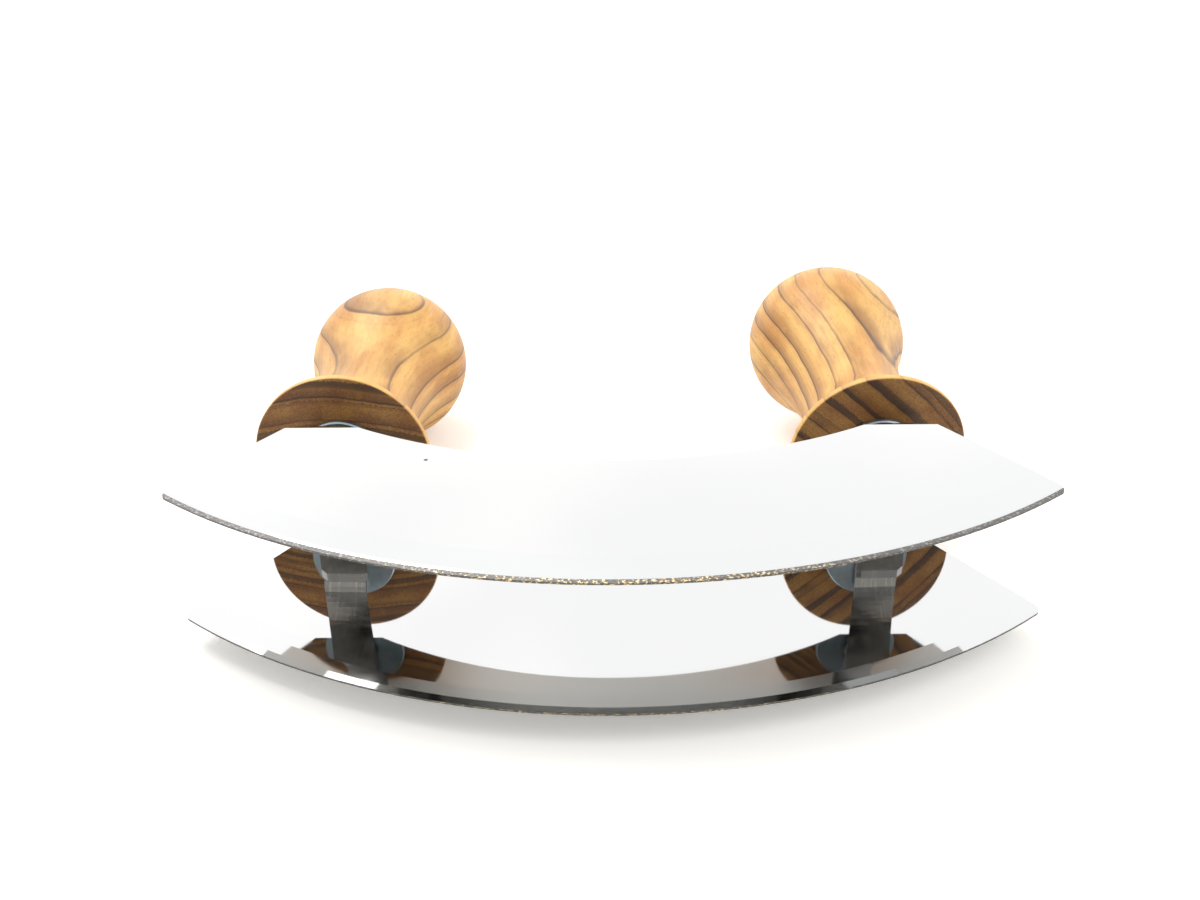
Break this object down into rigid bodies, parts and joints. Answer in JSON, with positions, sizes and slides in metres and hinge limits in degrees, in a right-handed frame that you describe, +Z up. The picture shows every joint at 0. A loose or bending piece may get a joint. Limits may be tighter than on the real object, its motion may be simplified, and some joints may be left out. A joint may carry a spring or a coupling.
{
  "type": "mezzaluna",
  "caption": "Double-blade mezzaluna: curved steel blades joined by U-shaped strap brackets, each screwed to a turned wooden knob with a round flange.",
  "frame": {"origin": "on the surface that the tool lies on, under the middle of its bounding box", "axes": "+X along the blades, +Y from the cutting edges to the knobs, +Z up, square to the blade faces"},
  "size_m": [0.1786, 0.1538, 0.0479],
  "materials": {
    "blade_steel": "mirror polished",
    "strap_steel": "rolled, satin",
    "zinc": "zinc plated",
    "screw_steel": "zinc plated",
    "olive_wood": "oiled, satin"
  },
  "bodies": {
    "root": {"upper_blade": "blade_steel", "lower_blade": "blade_steel", "left_bracket": "strap_steel", "right_bracket": "strap_steel", "left_washer": "zinc", "right_washer": "zinc", "left_screw": "screw_steel", "right_screw": "screw_steel", "left_handle": "olive_wood", "right_handle": "olive_wood"}
  },
  "joints": []
}
